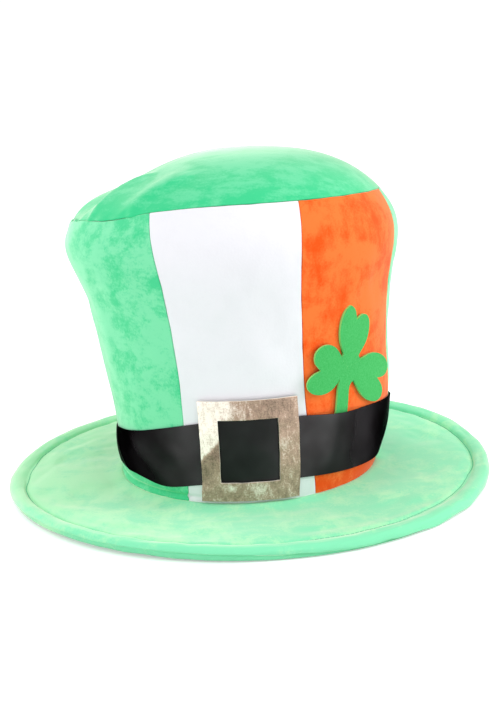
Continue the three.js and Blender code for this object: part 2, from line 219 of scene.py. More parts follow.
# %% Satin finish
RIB = 0.8 * MM
SATIN_WEAR = 30 * MM
satin, place = new_finish("black satin")
upright = add_node(satin, "Mapping", Vector=place, Scale=(1, 1, 0.1)).outputs[0]
ribs = add_node(satin, "TexNoise", Vector=upright, Scale=1 / RIB, Detail=1)
wear = add_node(satin, "TexNoise", Vector=place, Scale=1 / SATIN_WEAR, Detail=2)
gloss = add_node(satin, "MapRange", Value=wear.outputs["Fac"], To_Min=0.36, To_Max=0.50)
mirror = colour_ramp(satin, wear.outputs["Fac"], (0.3, "#262425"), (0.7, "#353435"))
weave = add_node(satin, "Bump", Height=ribs.outputs["Fac"], Strength=0.06, Distance=0.1 * MM)
weft = add_node(satin, "Attribute", {"attribute_name": "weft"})
show(satin, add_node(satin, "BsdfPrincipled", Base_Color=mirror, Metallic=1, Roughness=gloss.outputs[0],
                     Specular_Tint=linear("#5a5c5c"), Anisotropic=0.85, Tangent=weft.outputs["Vector"],
                     Normal=weave.outputs[0]))

# %% [markdown]
# ## Foil cloth
#
# The buckle is cut from cloth with a champagne-coloured metal film on it. The film crinkles into many
# small facets, each of which mirrors another part of the studio, so it looks mottled, and that mottle is
# also painted into its colour by noise, as painted reflection. The piece's own attribute of painted
# reflection goes from 0, a painted dark brown reflection, to 1, a painted bright silvery highlight, and
# "cut_edge" says where the pale cut edge shows.

# %% Foil cloth finish
FOIL_GRAIN = 1.1 * MM
FOIL_CRINKLE = 5 * MM
REFLECTION_MOTTLE = 0.22
SPECK = 0.18
NOISE_SPAN = {"From_Min": 0.3, "From_Max": 0.7}
foil, place = new_finish("gold foil cloth")
drawn = add_node(foil, "Mapping", Vector=place, Scale=(1.5, 1, 0.6)).outputs[0]
grain = add_node(foil, "TexNoise", Vector=place, Scale=1 / FOIL_GRAIN, Detail=3, Roughness=0.7)
wrinkle = add_node(foil, "TexNoise", Vector=drawn, Scale=1 / FOIL_CRINKLE, Detail=5, Roughness=0.7,
                   Distortion=0.4)
# Painted reflection: this attribute, with the crinkle mottle below, moves the film's colour between a dark
# brown reflection and a bright silvery highlight.
painted_reflection = add_node(foil, "Attribute", {"attribute_name": "painted_reflection"})
reflection_mottle = add_node(foil, "MapRange", Value=wrinkle.outputs["Fac"], To_Min=-REFLECTION_MOTTLE, To_Max=REFLECTION_MOTTLE,
                  **NOISE_SPAN)
speck = add_node(foil, "MapRange", Value=grain.outputs["Fac"], To_Min=-SPECK, To_Max=SPECK, **NOISE_SPAN)
painted_reflection_and_grain = add_node(foil, "Math", {"operation": "ADD"}, _0=painted_reflection.outputs["Fac"], _1=reflection_mottle.outputs[0])
painted_reflection_and_grain = add_node(foil, "Math", {"operation": "ADD"}, _0=painted_reflection_and_grain.outputs[0], _1=speck.outputs[0])
film = colour_ramp(foil, painted_reflection_and_grain.outputs[0], (0, "#624e3f"), (0.5, "#b0927f"), (1, "#fff2e8"))
cut = add_node(foil, "Attribute", {"attribute_name": "cut_edge"})
edged = add_node(foil, "MixRGB", Fac=cut.outputs["Fac"], Color1=film, Color2=linear("#e9e2d2"))
dull = add_node(foil, "MapRange", Value=grain.outputs["Fac"], To_Min=0.34, To_Max=0.52, **NOISE_SPAN)
creases = add_node(foil, "Bump", Height=wrinkle.outputs["Fac"], Strength=0.3, Distance=0.8 * MM)
facets = add_node(foil, "Bump", Height=grain.outputs["Fac"], Strength=0.25, Distance=0.3 * MM,
                  Normal=creases.outputs[0])
show(foil, add_node(foil, "BsdfPrincipled", Base_Color=edged.outputs[0], Metallic=0.3,
                    Roughness=dull.outputs[0], Normal=facets.outputs[0]))

# %% [markdown]
# ## Felt and thread
#
# Felt is loose fibre pressed flat, with no weave: it is matt, and a close look shows short tangled
# specks. Where it is cut, its loose fibres catch the light, and that is drawn as a paler colour along the
# cut edge, a painted highlight. The sewing thread round the brim is dyed to the velour and has a dull
# shine.

# %% Felt and thread finishes
FELT_FIBRE = 1.2 * MM
THREAD_TWIST = 0.5 * MM

felt, place = new_finish("green felt")
tangle = add_node(felt, "TexNoise", Vector=place, Scale=1 / FELT_FIBRE, Detail=3, Roughness=0.7)
fibre = colour_ramp(felt, tangle.outputs["Fac"], (0.3, "#3aaa55"), (0.7, "#4db968"))
# Painted highlight: the cut edge is painted paler, for the light that its loose fibres catch.
cut = add_node(felt, "Attribute", {"attribute_name": "cut_edge"})
edged = add_node(felt, "MixRGB", Fac=cut.outputs["Fac"], Color1=fibre, Color2=linear("#8fdc79"))
fuzz = add_node(felt, "Bump", Height=tangle.outputs["Fac"], Strength=0.35, Distance=0.3 * MM)
show(felt, add_node(felt, "BsdfPrincipled", Base_Color=edged.outputs[0], Roughness=0.95,
                    Specular_IOR_Level=0.1, Sheen_Weight=0.15, Sheen_Roughness=0.4, Normal=fuzz.outputs[0]))

thread, place = new_finish("green polyester thread")
twist = add_node(thread, "TexNoise", Vector=place, Scale=1 / THREAD_TWIST, Detail=1)
strand = colour_ramp(thread, twist.outputs["Fac"], (0.3, "#4fae82"), (0.7, "#6cc498"))
ply = add_node(thread, "Bump", Height=twist.outputs["Fac"], Strength=0.3, Distance=0.1 * MM)
show(thread, add_node(thread, "BsdfPrincipled", Base_Color=strand, Roughness=0.55, Specular_IOR_Level=0.3,
                      Normal=ply.outputs[0]))

# %% [markdown]
# ## Working on copies
#
# Each cloth piece starts as a copy of its solid. A solid's mesh is loose triangles, so the copy is merged
# and its triangles are joined into quads, which subdivide more evenly.

# %% Copies
MERGE_GAP = 0.02 * MM
QUAD_BEND, QUAD_SKEW = radians(60), radians(100)


def pick(piece):
    """Makes one object the whole selection, as a click on it does."""
    bpy.ops.object.select_all(action="DESELECT")
    piece.select_set(True)
    bpy.context.view_layer.objects.active = piece


def copy_of(node, name):
    """A copy of a CAD solid with a mesh of its own, merged and turned into quads."""
    pick(frame["nodes"][node])
    bpy.ops.object.duplicate()
    piece = bpy.context.object
    piece.name = piece.data.name = name
    piece.parent = None
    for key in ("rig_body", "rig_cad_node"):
        del piece[key]
    piece.data.materials.clear()
    bpy.ops.object.mode_set(mode="EDIT")
    bpy.ops.mesh.select_all(action="SELECT")
    bpy.ops.mesh.customdata_custom_splitnormals_clear()
    bpy.ops.mesh.remove_doubles(threshold=MERGE_GAP)
    bpy.ops.mesh.tris_convert_to_quads(face_threshold=QUAD_BEND, shape_threshold=QUAD_SKEW)
    bpy.ops.object.mode_set(mode="OBJECT")
    bpy.ops.object.shade_smooth()
    return piece


# %% [markdown]
# ## Shaping tools
#
# Small helpers do what a hand would do next. Two of them read and move a piece's points, and with them a
# brush pushes its skin in and out, as in sculpt mode. The others bevel its sharp borders, subdivide it
# and fatten it.

# %% Points and brush
def vertex_rows(piece, field="co"):
    """A piece's vertex places, or their normals, one row each."""
    rows = np.empty(len(piece.data.vertices) * 3)
    piece.data.vertices.foreach_get(field, rows)
    return rows.reshape(-1, 3)


def move_points(piece, places):
    """Puts a piece's vertices at new places."""
    piece.data.vertices.foreach_set("co", np.ravel(places))
    piece.data.update()


def sculpt(piece, push, middle=None):
    """Moves each vertex along its normal by push(place) metres. With a middle to move away from, both faces
    of a padded piece go the same way, as in a fold."""
    places, normals = vertex_rows(piece), vertex_rows(piece, "normal")
    lifts = np.array([push(Vector(place)) for place in places])
    if middle:
        lifts *= np.sign((normals * (places - np.array(middle))).sum(1))
    move_points(piece, places + normals * lifts[:, None])


# %% Borders and skin
SHARP = radians(50)
BORDER_SEGMENTS = 2


def round_borders(piece, radius):
    """Bevels the edges where two faces meet at a sharp angle, and returns where those edges were."""
    pick(piece)
    bpy.ops.object.mode_set(mode="EDIT")
    bpy.ops.mesh.select_mode(type="EDGE")
    bpy.ops.mesh.select_all(action="DESELECT")
    bpy.ops.mesh.edges_select_sharp(sharpness=SHARP)
    bpy.ops.object.mode_set(mode="OBJECT")
    border = vertex_rows(piece)[[vertex.index for vertex in piece.data.vertices if vertex.select]]
    bpy.ops.object.mode_set(mode="EDIT")
    bpy.ops.mesh.bevel(offset=radius, segments=BORDER_SEGMENTS, affect="EDGES", clamp_overlap=True)
    bpy.ops.object.mode_set(mode="OBJECT")
    return border


def subdivide(piece, levels):
    """A Catmull-Clark subdivision, applied."""
    pick(piece)
    smooth = piece.modifiers.new("smooth", "SUBSURF")
    smooth.levels = smooth.render_levels = levels
    bpy.ops.object.modifier_apply(modifier=smooth.name)


def fatten(piece, amount):
    """Pushes the whole skin out along its normals."""
    pick(piece)
    bpy.ops.object.mode_set(mode="EDIT")
    bpy.ops.mesh.select_all(action="SELECT")
    bpy.ops.transform.shrink_fatten(value=amount)
    bpy.ops.object.mode_set(mode="OBJECT")


# %% Marks and finish
def mark(piece, name, values):
    """Writes one number for each vertex as an attribute that the finish reads."""
    piece.data.attributes.new(name, "FLOAT", "POINT").data.foreach_set("value", np.array(values, float))


def finish_piece(piece, node, material, slot):
    """Gives a piece its finish, attaches it to the root body and hides the solid that it stands for."""
    piece.data.materials.append(material)
    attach(piece, "root")
    if node:
        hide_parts(node)
    print(piece.name, "has", len(piece.data.polygons), "faces")


# %% [markdown]
# ## Plumping the padding
#
# A padded panel swells between its seams and goes down into them. It could be sculpted, but Cloth with a
# little pressure finds that form by itself. The seams are pinned, springs through the wadding hold the
# two faces together, and one part in a hundred of spare cloth lets the skin rise in soft waves. A limit
# keeps the swelling small, so the panels stay under the band and the brim stays on the floor.

# %% Plumping
STEPS = 20
PRESSURE = 1
SPARE_CLOTH = 0.01
SEAM_HOLD = 2 * MM
SEAM_EASE = 6 * MM
WADDING = 6 * MM
WADDING_TURN = radians(45)
WADDING_STIFFNESS = 15
HARDLY_MOVED = 1e-9


def plump(piece, seams, limits):
    """Pumps a closed piece up with Cloth. limits holds the furthest that each vertex may move."""
    pick(piece)
    start = vertex_rows(piece)
    gaps = np.array([np.sqrt(((seams - place) ** 2).sum(1)).min() for place in start])
    sewn = piece.vertex_groups.new(name="sewn")
    for index, hold in enumerate(np.clip(1 - (gaps - SEAM_HOLD) / SEAM_EASE, 0, 1)):
        sewn.add([index], hold, "REPLACE")
    cloth = piece.modifiers.new("plump", "CLOTH")
    cloth.collision_settings.use_collision = False
    settings = cloth.settings
    settings.vertex_group_mass = sewn.name
    settings.use_pressure = True
    settings.uniform_pressure_force = PRESSURE
    settings.shrink_min = -SPARE_CLOTH
    settings.use_internal_springs = True
    settings.internal_spring_max_length = WADDING
    settings.internal_spring_max_diversion = WADDING_TURN
    settings.internal_tension_stiffness = settings.internal_compression_stiffness = WADDING_STIFFNESS
    settings.effector_weights.gravity = 0
    for step in range(1, STEPS + 1):
        bpy.context.scene.frame_set(step)
    bpy.ops.object.modifier_apply(modifier=cloth.name)
    bpy.context.scene.frame_set(1)
    piece.vertex_groups.clear()
    moves = vertex_rows(piece) - start
    far = np.maximum(np.linalg.norm(moves, axis=1), HARDLY_MOVED)
    kept = limits * np.tanh(far / limits)
    move_points(piece, start + moves * (kept / far)[:, None])
    print(piece.name, "swelled by up to", round(kept.max() / MM, 2), "mm")


# %% [markdown]
# ## Crown panels
#
# Three panels of velour stand round the crown: a green one that goes round the back, a white one and an
# orange one. Each gets rounded borders, so that a soft valley marks each seam, and is fattened by a hair
# to close the gap that the solids keep. Under the laid pieces the panels may swell by less than the gap
# that those leave. Left of the buckle, the foot of the crown has a shallow tuck. A brush can only draw it
# where the mesh has rows of points, so each panel is first cut at level planes there. At the foot the
# tone is painted deeper, as painted shade.

# %% Crown panels
SEAM_ROUND = 0.5 * MM
GAP_CLOSING = 0.14 * MM
SWELL = 0.9 * MM
SWELL_UNDER_LAID = 0.25 * MM
CROWN_MIDDLE = (0, 0, 120 * MM)
TUCK_HEIGHT, TUCK_WIDTH, TUCK_DEPTH = 12.5 * MM, 1.6 * MM, 2.0 * MM
TUCK_BEARING, TUCK_SPREAD = radians(-54), radians(34)
TUCK_ROWS = TUCK_HEIGHT + TUCK_WIDTH * np.linspace(-2, 2, 9)
FOOT_HEIGHTS, FOOT_PAINTED_SHADE = (16 * MM, 24 * MM), (-0.14, 0)


def padded_copy(node, name):
    """A copy of a padded solid with soft borders, and the line of its seams."""
    piece = copy_of(node, name)
    seams = round_borders(piece, SEAM_ROUND)
    subdivide(piece, 1)
    fatten(piece, GAP_CLOSING)
    return piece, seams


def cut_levels(piece, heights):
    """Cuts a piece at level planes, so that it has rows of vertices there."""
    pick(piece)
    bpy.ops.object.mode_set(mode="EDIT")
    for height in heights:
        bpy.ops.mesh.select_all(action="SELECT")
        bpy.ops.mesh.bisect(plane_co=(0, 0, height), plane_no=(0, 0, 1))
    bpy.ops.object.mode_set(mode="OBJECT")


def foot_tuck(place):
    """A shallow tuck along the foot of the crown, left of the buckle."""
    turn = (atan2(place.x, -place.y) - TUCK_BEARING) / TUCK_SPREAD
    return -TUCK_DEPTH * exp(-(((place.z - TUCK_HEIGHT) / TUCK_WIDTH) ** 2) - turn**4)


PANELS = [
    # solid, piece, finish, slot, height under which something is laid on it (mm)
    ("crown_side_green", "crown_green_panel", crown_velour, "green_velour", 76),
    ("crown_front_white", "crown_white_panel", white_velour, "white_velour", 90),
    ("crown_front_orange", "crown_orange_panel", orange_velour, "orange_velour", 136),
]
for node, name, finish, slot, laid_top in PANELS:
    panel, seams = padded_copy(node, name)
    heights = vertex_rows(panel)[:, 2]
    plump(panel, seams, np.where(heights > laid_top * MM, SWELL, SWELL_UNDER_LAID))
    subdivide(panel, 1)
    cut_levels(panel, TUCK_ROWS)
    sculpt(panel, foot_tuck, CROWN_MIDDLE)
    # Painted shade: the tone is deeper towards the foot of the crown.
    mark(panel, "painted_light", np.interp(vertex_rows(panel)[:, 2], FOOT_HEIGHTS, FOOT_PAINTED_SHADE))
    finish_piece(panel, node, finish, slot)

# %% [markdown]
# ## Tip
#
# The tip is a domed round of velour, and it is soft. On the left it has sagged: a crease runs up from the
# seam towards the middle, a low fold lies in front of it, and the cloth behind it has sunk. They could be
# left to a simulation, but it would not put them where the photograph has them, so each is drawn along
# its line by a brush, with a pointed profile for the crease and a round one for the others. Its tone is
# painted from deep at the seam, as painted shade, to pale at the top, as a painted sheen.

# %% Crease brush
CREASES = [
    # points in plan, lift, widths in front and behind (mm), power: 1 is a sharp crest, 2 a round one
    ([(-101, -60), (-96, -57), (-89, -52), (-81, -45), (-76, -43), (-65, -43), (-51, -44)], 3.4, 14, 5, 1),
    ([(-74, -88), (-69, -85), (-62, -81), (-52, -77), (-39, -74), (-25, -72)], 2.6, 6, 14, 2),
    ([(-106, -46), (-110, -29), (-112, -10), (-112, 8)], -2.4, 12, 12, 2),
]


def fill_in(corners, spacing=1.0):
    """A line of closely spaced points through some corners."""
    corners = np.array(corners, float)
    along = np.append(0, np.cumsum(np.hypot(*np.diff(corners, axis=0).T)))
    at = np.arange(0, along[-1], spacing)
    return np.column_stack([np.interp(at, along, corners[:, axis]) for axis in (0, 1)])


def crease_brush(seams, corners, lift, front, behind, power):
    """A push that raises a crease along a line in plan and dies out at its ends and at the seams."""
    line = fill_in(corners) * MM
    heading = np.gradient(line, axis=0)
    fades = 1 - np.linspace(-1, 1, len(line)) ** 4

    def push(place):
        away = np.array(place[:2]) - line
        gaps = np.hypot(*away.T)
        nearest = gaps.argmin()
        side = heading[nearest, 0] * away[nearest, 1] - heading[nearest, 1] * away[nearest, 0]
        width = behind if side > 0 else front
        free = min(1, np.sqrt(((seams - np.array(place)) ** 2).sum(1)).min() / SEAM_EASE)
        return lift * MM * free * fades[nearest] * exp(-((gaps[nearest] / (width * MM)) ** power))

    return push


# %% Tip
TIP_SWELL = 0.3 * MM
TIP_RISES, TIP_PAINTED_LIGHT = (2 * MM, 16 * MM, 30 * MM), (-0.16, -0.06, 0.04)

tip, seams = padded_copy("crown_tip", "domed_tip")
plump(tip, seams, np.full(len(tip.data.vertices), TIP_SWELL))
subdivide(tip, 2)
for crease in CREASES:
    sculpt(tip, crease_brush(seams, *crease), CROWN_MIDDLE)
# Painted light: deep at the seam as painted shade, pale at the top as a painted sheen.
rise = vertex_rows(tip)[:, 2] - seams[:, 2].mean()
mark(tip, "painted_light", np.interp(rise, TIP_RISES, TIP_PAINTED_LIGHT))
finish_piece(tip, "crown_tip", tip_velour, "green_velour")

# %% [markdown]
# ## Stitching line of the brim
#
# The brim is two padded layers, sewn together along a line 12 mm inside the edge, so that the rim outside
# the line stands full. The line is read from the solid of the upper layer: in each column of its mesh, it
# goes through the vertex that lies nearest to that distance from the edge.

# %% Stitching line
RIM_WIDTH = 12.2 * MM
COLUMNS = 56
LINE_POINTS = 720


def bearing_of(places):
    """Angles about the upright axis, from the front towards the viewer's right."""
    return np.arctan2(places[..., 0], -places[..., 1])


def column_of(places):
    """The number of the column of the solid's mesh that each place is in."""
    return np.round(bearing_of(places) * COLUMNS / (2 * pi)).astype(int) % COLUMNS


def reach_of(places):
    """Level distances from the upright axis."""
    return np.hypot(places[:, 0], places[:, 1])


def read_rim():
    """Bearing, edge distance, stitching distance and stitching height for each column of the upper layer."""
    points = vertex_rows(frame["nodes"]["brim_top"])
    upper = points[points[:, 2] > points[:, 2].max() / 2]
    column = column_of(upper)
    rows = []
    for number in range(COLUMNS):
        strip = upper[column == number]
        reach = reach_of(strip)
        sewn = strip[np.abs(reach - (reach.max() - RIM_WIDTH)).argmin()]
        rows.append((bearing_of(sewn), reach.max(), hypot(sewn[0], sewn[1]), sewn[2]))
    return np.array(sorted(rows)).T


rim_bearing, *rim_columns = read_rim()


def rim_at(bearing):
    """Edge distance, stitching distance and stitching height at any bearing."""
    return [np.interp(bearing, rim_bearing, column, period=2 * pi) for column in rim_columns]


turns = np.linspace(-pi, pi, LINE_POINTS, endpoint=False)
_, sewn_reach, sewn_height = rim_at(turns)
stitching = np.column_stack([sewn_reach * np.sin(turns), -sewn_reach * np.cos(turns), sewn_height])
stitching_length = np.linalg.norm(stitching - np.roll(stitching, 1, axis=0), axis=1).sum()
print("stitching is", round(stitching_length, 3), "m long")

# %% [markdown]
# ## Roll at the crown's foot
#
# Where the crown is sewn to the brim, the padding of the upper layer swells up against it in a soft roll.
# The line of the foot is read from the solids of the panels, and the upper skin is raised beside it. A
# layer has few points across its flat part, so a second helper cuts its radial edges into shorter ones.

# %% Rings and roll
FOOT_BAND = 3 * MM
ROLL_RISE, ROLL_WIDTH, ROLL_TUCKED = 2.2 * MM, 8 * MM, 1.2 * MM
FACING_UP = 0.3


def cut_rings(piece, longest, cuts, furthest):
    """Cuts the radial edges of a brim layer that are longer than longest, as far out as furthest."""
    pick(piece)
    reach = reach_of(vertex_rows(piece))
    for part in (piece.data.vertices, piece.data.edges, piece.data.polygons):
        part.foreach_set("select", [False] * len(part))
    for edge in piece.data.edges:
        ends = reach[list(edge.vertices)]
        edge.select = bool(np.ptp(ends) > longest and ends.max() < furthest)
    bpy.ops.object.mode_set(mode="EDIT")
    bpy.ops.mesh.select_mode(type="EDGE")
    bpy.ops.mesh.subdivide(number_cuts=cuts)
    bpy.ops.object.mode_set(mode="OBJECT")


def read_foot():
    """Bearing and distance of the crown's foot, outside, for each column."""
    points = np.vstack([vertex_rows(frame["nodes"][panel[0]]) for panel in PANELS])
    foot = points[points[:, 2] < points[:, 2].min() + FOOT_BAND]
    column = column_of(foot)
    strips = [foot[column == number] for number in np.unique(column)]
    outer = np.array([strip[reach_of(strip).argmax()] for strip in strips])
    return bearing_of(outer), reach_of(outer)


foot_bearing, foot_reach = read_foot()
print("crown's foot is", *np.round([foot_reach.min() / MM, foot_reach.max() / MM], 1), "mm from the axis")


def roll_up_at_foot(piece):
    """Raises the upper skin in a soft roll against the crown's foot."""
    places, normals = vertex_rows(piece), vertex_rows(piece, "normal")
    gap = reach_of(places) - np.interp(bearing_of(places), foot_bearing, foot_reach, period=2 * pi)
    roll = ROLL_RISE * np.exp(-((gap / np.where(gap > 0, ROLL_WIDTH, ROLL_TUCKED)) ** 2))
    places[:, 2] += roll * (normals[:, 2] > FACING_UP)
    move_points(piece, places)


# %% [markdown]
# ## Thread and edge of the brim
#
# The thread pulls a narrow groove into the cloth, with small puckers beside it. At the edge, the seam
# between the layers is turned under, so that the velour of the upper layer goes round the edge. Both are
# small and regular, so they are drawn by brushes that know the stitching line and the edge.

# %% Thread and rolled seam
GROOVE_DEPTH, GROOVE_WIDTH = 0.9 * MM, 1.0 * MM
PUCKER_HEIGHT, PUCKER_REACH, PUCKER_WAVES, PUCKER_LEVEL = 0.5 * MM, 9 * MM, 18, 0.3
SEAM_HEIGHT, SEAM_DROP, SEAM_REACH, SEAM_TURN = 3.35 * MM, 2.9 * MM, 7 * MM, 2.4 * MM


def pull_thread(place):
    """The pull of the thread: a narrow groove at the line, and small puckers that die out beside it."""
    bearing = atan2(place.x, -place.y)
    off = hypot(place.x, place.y) - rim_at(bearing)[1]
    groove = GROOVE_DEPTH * exp(-((off / GROOVE_WIDTH) ** 2))
    wave = noise.noise(Vector((sin(bearing), cos(bearing), PUCKER_LEVEL)) * PUCKER_WAVES)
    return PUCKER_HEIGHT * wave * exp(-((off / PUCKER_REACH) ** 2)) - groove


def roll_seam_under(piece, turn_in):
    """Lowers the middle of the rim's edge, where the two layers meet, and draws the edge in by turn_in."""
    places = vertex_rows(piece)
    reach = reach_of(places)
    near = np.clip(1 - (rim_at(bearing_of(places))[0] - reach) / SEAM_REACH, 0, 1)
    near = near**2 * (3 - 2 * near)
    middle = np.clip(1 - np.abs(places[:, 2] - SEAM_HEIGHT) / SEAM_HEIGHT, 0, 1)
    places[:, 2] = np.maximum(places[:, 2] - SEAM_DROP * near * middle, 0)
    places[:, :2] *= (1 - turn_in * near / reach)[:, None]
    move_points(piece, places)


# %% [markdown]
# ## Brim layers
#
# The flat part of each layer is cut into narrower rings first, so that it can swell and pucker. Plumping
# comes next, and then the brushes for the thread, the edge and the crown's foot. The lower layer's rim
# may hardly swell, so that it stays behind the upper one. A sheen is painted into the tone, paler towards
# the left, and shade is painted along the front of the rim, deeper.

# %% Brim layers
EVERYWHERE, FLAT_RING, FLAT_CUTS = 1, 18 * MM, 4
FOOT_REACH, FOOT_RING, FOOT_CUTS = 115 * MM, 2.5 * MM, 2
RIM_SWELL_BELOW = 0.15 * MM
RIM_PAINTED_SHADE, RIM_BLEND, RIM_FRONT = -0.15, 3 * MM, 150 * MM
LEFT_PAINTED_SHEEN = 1.3

LAYERS = [
    # solid, piece, how far the rim may swell, how far its edge turns in
    ("brim_top", "brim_upper_layer", SWELL, 0),
    ("brim_under", "brim_lower_layer", RIM_SWELL_BELOW, SEAM_TURN),
]
for node, name, rim_swell, turn_in in LAYERS:
    layer = copy_of(node, name)
    seams = round_borders(layer, SEAM_ROUND)
    cut_rings(layer, FLAT_RING, FLAT_CUTS, EVERYWHERE)
    subdivide(layer, 1)
    fatten(layer, GAP_CLOSING)
    places = vertex_rows(layer)
    in_rim = reach_of(places) > rim_at(bearing_of(places))[1]
    plump(layer, np.vstack([seams, stitching]), np.where(in_rim, rim_swell, SWELL))
    subdivide(layer, 1)
    sculpt(layer, pull_thread)
    roll_seam_under(layer, turn_in)
    if node == "brim_top":
        cut_rings(layer, FOOT_RING, FOOT_CUTS, FOOT_REACH)
        roll_up_at_foot(layer)
    places = vertex_rows(layer)
    on_rim = np.clip((reach_of(places) - rim_at(bearing_of(places))[1]) / RIM_BLEND, 0, 1)
    at_front = np.clip(-places[:, 1] / RIM_FRONT, 0, 1)
    at_left = np.clip(-places[:, 0], 0, None)
    # Painted light: a painted sheen pales the brim towards the left, and painted shade deepens the rim's
    # front.
    mark(layer, "painted_light", RIM_PAINTED_SHADE * at_front * on_rim + LEFT_PAINTED_SHEEN * at_left)
    finish_piece(layer, node, brim_velour, "green_velour")

# %% [markdown]
# ## Topstitching
#
# The line round the brim is a row of machine stitches, each about 3 mm long. One stitch is modelled from
# a short cylinder whose ends are drawn in and pushed down into the cloth. It is then copied along the
# line and laid where a ray from above meets the upper layer.

# %% One stitch
STITCH_LENGTH = 2.6 * MM
THREAD_RADIUS = 0.35 * MM
STITCH_END, STITCH_TAPER = 0.45 * MM, 0.6
FACING_END = 0.9

bpy.ops.object.select_all(action="DESELECT")
bpy.ops.mesh.primitive_cylinder_add(vertices=6, radius=THREAD_RADIUS, depth=STITCH_LENGTH,
                                    rotation=(0, pi / 2, 0))
stitch = bpy.context.object
bpy.ops.object.transform_apply(location=True, rotation=True, scale=True)
for side in (-1, 1):
    bpy.ops.object.mode_set(mode="EDIT")
    bpy.ops.mesh.select_mode(type="FACE")
    bpy.ops.mesh.select_all(action="DESELECT")
    bpy.ops.object.mode_set(mode="OBJECT")
    for face in stitch.data.polygons:
        face.select = face.normal.x * side > FACING_END
    bpy.ops.object.mode_set(mode="EDIT")
    bpy.ops.mesh.extrude_region_move(TRANSFORM_OT_translate={"value": (side * STITCH_END, 0, -STITCH_END)})
    bpy.ops.transform.resize(value=(STITCH_TAPER, STITCH_TAPER, STITCH_TAPER))
    bpy.ops.object.mode_set(mode="OBJECT")
bpy.ops.object.shade_smooth()
print("one stitch has", len(stitch.data.polygons), "faces")

# %% Row of stitches
STITCH_PITCH = 3.5 * MM
RAY_START = 20 * MM

upper_layer = bpy.data.objects["brim_upper_layer"]
count = round(stitching_length / STITCH_PITCH)
row = []
for bearing in np.arange(count) * 2 * pi / count:
    _, reach, height = rim_at(bearing)
    above = Vector((reach * sin(bearing), -reach * cos(bearing), height + RAY_START))
    _, ground, _, _ = upper_layer.ray_cast(above, Vector((0, 0, -1)))
    copied = stitch.copy()
    copied.data = stitch.data.copy()
    bpy.context.collection.objects.link(copied)
    copied.matrix_world = Matrix.Translation(ground) @ Matrix.Rotation(bearing, 4, "Z")
    row.append(copied)
bpy.data.objects.remove(stitch)
pick(row[0])
for copied in row:
    copied.select_set(True)
bpy.ops.object.join()
topstitch = bpy.context.object
topstitch.name = topstitch.data.name = "brim_topstitch"
bpy.ops.object.transform_apply(location=True, rotation=True, scale=True)
finish_piece(topstitch, None, thread, "green_velour")
print("stitches:", count)

# %% [markdown]
# ## Band
#
# A length of satin ribbon goes round the foot of the crown. It is not pulled tight: on the left it bags
# out, and soft folds slant across it, which give satin its long highlights. Each fold is a low ridge
# along a slanted line, raised away from the crown only.

# %% Band
BAND_RADIUS = 105
BAND_EDGE_ROUND = 0.3 * MM
UPRIGHT = (0, 0, 1)
FOLDS = [
    # bearing (degrees), height (mm), slant (mm up for each mm along), width (mm), length (mm), lift (mm)
    (-150, 38, 0.6, 7, 30, 0.9),
    (-66, 30, -0.9, 5, 22, 1.2),
    (-46, 36, -0.7, 6, 26, 1.4),
    (-31, 44, -0.5, 6, 14, 0.8),
    (4, 50, -0.8, 5, 14, 0.5),
    (34, 36, 0.0, 14, 18, 1.2),
    (80, 36, 0.8, 6, 24, 0.9),
    (130, 36, -0.8, 7, 30, 0.9),
]


def fold_lift(place):
    """How far the folds raise the ribbon at a place."""
    lift = 0
    for bearing, height, slant, width, length, rise in FOLDS:
        turn = (atan2(place.x, -place.y) - radians(bearing) + pi) % (2 * pi) - pi
        along, up = turn * BAND_RADIUS, place.z / MM - height
        lengthwise = (along + slant * up) / hypot(1, slant)
        across = (up - slant * along) / hypot(1, slant)
        lift += rise * MM * exp(-((across / width) ** 2) - (lengthwise / length) ** 2)
    return lift


def outwards(places):
    """Level directions away from the crown's axis."""
    return places * (1, 1, 0) / reach_of(places)[:, None]


band = copy_of("hat_band", "satin_band")
round_borders(band, BAND_EDGE_ROUND)
subdivide(band, 2)
places = vertex_rows(band)
lifts = np.array([fold_lift(Vector(place)) for place in places])
move_points(band, places + outwards(places) * lifts[:, None])
subdivide(band, 1)
across_threads = band.data.attributes.new("weft", "FLOAT_VECTOR", "POINT")
across_threads.data.foreach_set("vector", UPRIGHT * len(band.data.vertices))
finish_piece(band, "hat_band", satin, "black_satin")

# %% [markdown]
# ## Buckle
#
# The buckle is a square frame cut from foil cloth and laid on the band. The film is crinkled by a brush
# in two sizes of noise. A crease line slants across its left bar, drawn in colour only: above it a bright
# highlight is painted into the film, and under it a dark reflection is painted. A few painted glints lie
# where the other bars catch the light, with one darker painted patch on the top bar. This painted
# reflection could be a picture, but it is written as one number for each vertex, which the finish reads.

# %% Painted reflection on the film
CREASE_FOOT, CREASE_SLOPE, CREASE_EDGE = -8 * MM, 1.07, 2 * MM
DARK_REFLECTION_REACH = 26 * MM
LEFT_FADE = 0.6
TOP_EDGE, TOP_START, TOP_FADE = 4 * MM, 9 * MM, 6 * MM
REFLECTION_PLAIN, PAINTED_HIGHLIGHT, PAINTED_DARK_REFLECTION = 0.45, 0.5, 0.33
# Painted glints, and one darker painted patch: reflections drawn into the film's colour.
PAINTED_GLINTS = [
    # across and up from the middle (mm), radius (mm), how much brighter
    (-13, -27, 2.5, 0.5),
    (6, -29, 7, 0.22),
    (-7, 30, 6, 0.2),
    (19, 30, 12, -0.2),
    (24, 4, 6, 0.12),
]


